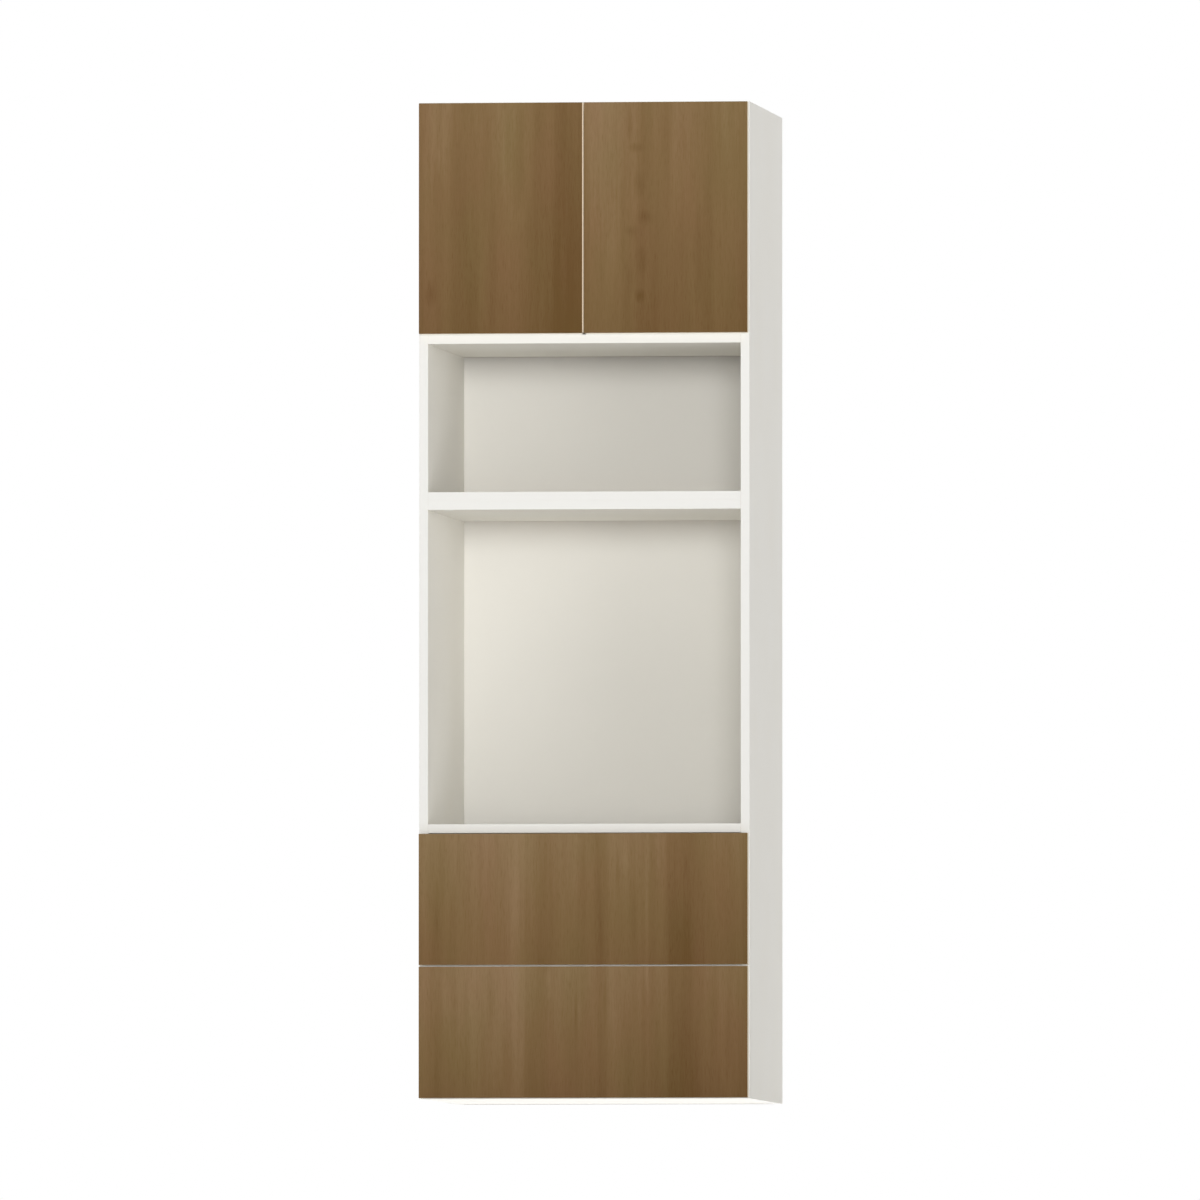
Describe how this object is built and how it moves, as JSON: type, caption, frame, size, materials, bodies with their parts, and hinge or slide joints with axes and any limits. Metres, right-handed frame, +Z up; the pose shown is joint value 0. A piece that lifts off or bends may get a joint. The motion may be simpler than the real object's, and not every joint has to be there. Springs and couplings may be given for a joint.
{
  "type": "tall oven housing unit",
  "caption": "Tall fitted kitchen housing with a double-door cupboard over open microwave and oven niches and deep push-to-open drawers.",
  "frame": {"origin": "on the floor, in the middle of the unit's width and depth", "axes": "+Z up, fronts face -Y, +X to the right of someone facing the fronts"},
  "size_m": [0.6, 0.58, 1.8],
  "materials": {
    "white_board": "warm white melamine on particle board, matt",
    "white_hardboard": "warm white lacquered fibreboard, matt",
    "wood_grain_front": "mid-brown vertical wood grain, low sheen, pale edge banding",
    "zinc_steel": "zinc plated",
    "nickel_steel": "nickel plated",
    "grey_plastic": "moulded, matt"
  },
  "bodies": {
    "carcass": {"left_side": "white_board", "right_side": "white_board", "bottom_panel": "white_board", "drawer_rail": "white_board", "oven_floor": "white_board", "oven_ceiling": "white_board", "microwave_floor": "white_board", "cupboard_floor": "white_board", "top_panel": "white_board", "fixing_rail": "white_board", "cupboard_shelf": "white_board", "back_panel": "white_hardboard", "cupboard_back": "white_hardboard", "shelf_pin_left_front": "zinc_steel", "shelf_pin_left_rear": "zinc_steel", "shelf_pin_right_front": "zinc_steel", "shelf_pin_right_rear": "zinc_steel", "left_lower_hinge_arm": "nickel_steel", "left_upper_hinge_arm": "nickel_steel", "right_lower_hinge_arm": "nickel_steel", "right_upper_hinge_arm": "nickel_steel", "push_latch_housing": "grey_plastic", "lower_drawer_slide_left_cabinet_member": "zinc_steel", "lower_drawer_slide_right_cabinet_member": "zinc_steel", "upper_drawer_slide_left_cabinet_member": "zinc_steel", "upper_drawer_slide_right_cabinet_member": "zinc_steel"},
    "left_outer_links": {"left_lower_hinge_outer_link": "nickel_steel", "left_upper_hinge_outer_link": "nickel_steel"},
    "left_inner_links": {"left_lower_hinge_inner_link": "nickel_steel", "left_upper_hinge_inner_link": "nickel_steel"},
    "left_door_leaf": {"left_door": "wood_grain_front", "left_lower_hinge_cup": "nickel_steel", "left_upper_hinge_cup": "nickel_steel"},
    "right_outer_links": {"right_lower_hinge_outer_link": "nickel_steel", "right_upper_hinge_outer_link": "nickel_steel"},
    "right_inner_links": {"right_lower_hinge_inner_link": "nickel_steel", "right_upper_hinge_inner_link": "nickel_steel"},
    "right_door_leaf": {"right_door": "wood_grain_front", "right_lower_hinge_cup": "nickel_steel", "right_upper_hinge_cup": "nickel_steel"},
    "left_plunger": {"left_push_latch_plunger": "grey_plastic"},
    "right_plunger": {"right_push_latch_plunger": "grey_plastic"},
    "lower_drawer": {"lower_drawer_front": "wood_grain_front", "lower_drawer_left_side": "white_board", "lower_drawer_right_side": "white_board", "lower_drawer_back": "white_board", "lower_drawer_bottom": "white_hardboard", "lower_drawer_slide_left_drawer_member": "zinc_steel", "lower_drawer_slide_right_drawer_member": "zinc_steel"},
    "lower_middle_members": {"lower_drawer_slide_left_middle_member": "zinc_steel", "lower_drawer_slide_right_middle_member": "zinc_steel"},
    "upper_drawer": {"upper_drawer_front": "wood_grain_front", "upper_drawer_left_side": "white_board", "upper_drawer_right_side": "white_board", "upper_drawer_back": "white_board", "upper_drawer_bottom": "white_hardboard", "upper_drawer_slide_left_drawer_member": "zinc_steel", "upper_drawer_slide_right_drawer_member": "zinc_steel"},
    "upper_middle_members": {"upper_drawer_slide_left_middle_member": "zinc_steel", "upper_drawer_slide_right_middle_member": "zinc_steel"}
  },
  "joints": [
    {"name": "left_outer_link_pivot", "type": "hinge", "parent": "carcass", "child": "left_outer_links", "pos_m": [-0.2756, -0.262, 1.59], "axis": [0, 0, 1], "range_deg": [0, 44]},
    {"name": "left_door_hinge", "type": "hinge", "parent": "left_outer_links", "child": "left_door_leaf", "pos_m": [-0.2891, -0.2778, 1.59], "axis": [0, 0, -1], "range_deg": [0, 144]},
    {"name": "left_inner_link_pivot", "type": "hinge", "parent": "carcass", "child": "left_inner_links", "pos_m": [-0.2653, -0.2702, 1.59], "axis": [0, 0, 1], "range_deg": [0, 44]},
    {"name": "right_outer_link_pivot", "type": "hinge", "parent": "carcass", "child": "right_outer_links", "pos_m": [0.2756, -0.262, 1.59], "axis": [0, 0, -1], "range_deg": [0, 44]},
    {"name": "right_door_hinge", "type": "hinge", "parent": "right_outer_links", "child": "right_door_leaf", "pos_m": [0.2891, -0.2778, 1.59], "axis": [0, 0, 1], "range_deg": [0, 144]},
    {"name": "right_inner_link_pivot", "type": "hinge", "parent": "carcass", "child": "right_inner_links", "pos_m": [0.2653, -0.2702, 1.59], "axis": [0, 0, -1], "range_deg": [0, 44]},
    {"name": "left_plunger_travel", "type": "slide", "parent": "carcass", "child": "left_plunger", "axis": [0, -1, 0], "range_m": [0, 0.014]},
    {"name": "right_plunger_travel", "type": "slide", "parent": "carcass", "child": "right_plunger", "axis": [0, -1, 0], "range_m": [0, 0.014]},
    {"name": "lower_drawer_slide", "type": "slide", "parent": "carcass", "child": "lower_drawer", "axis": [0, -1, 0], "range_m": [0, 0.5]},
    {"name": "lower_middle_member_slide", "type": "slide", "parent": "carcass", "child": "lower_middle_members", "axis": [0, -1, 0], "range_m": [0, 0.25]},
    {"name": "upper_drawer_slide", "type": "slide", "parent": "carcass", "child": "upper_drawer", "axis": [0, -1, 0], "range_m": [0, 0.5]},
    {"name": "upper_middle_member_slide", "type": "slide", "parent": "carcass", "child": "upper_middle_members", "axis": [0, -1, 0], "range_m": [0, 0.25]}
  ],
  "couplings": [
    {"joint": "left_outer_link_pivot", "follows": "left_door_hinge", "ratio": 0.30556},
    {"joint": "left_inner_link_pivot", "follows": "left_door_hinge", "ratio": 0.30556},
    {"joint": "left_plunger_travel", "follows": "left_door_hinge", "m_per_rad": 0.0055},
    {"joint": "right_outer_link_pivot", "follows": "right_door_hinge", "ratio": 0.30556},
    {"joint": "right_inner_link_pivot", "follows": "right_door_hinge", "ratio": 0.30556},
    {"joint": "right_plunger_travel", "follows": "right_door_hinge", "m_per_rad": 0.0055},
    {"joint": "lower_middle_member_slide", "follows": "lower_drawer_slide", "ratio": 0.5},
    {"joint": "upper_middle_member_slide", "follows": "upper_drawer_slide", "ratio": 0.5}
  ]
}
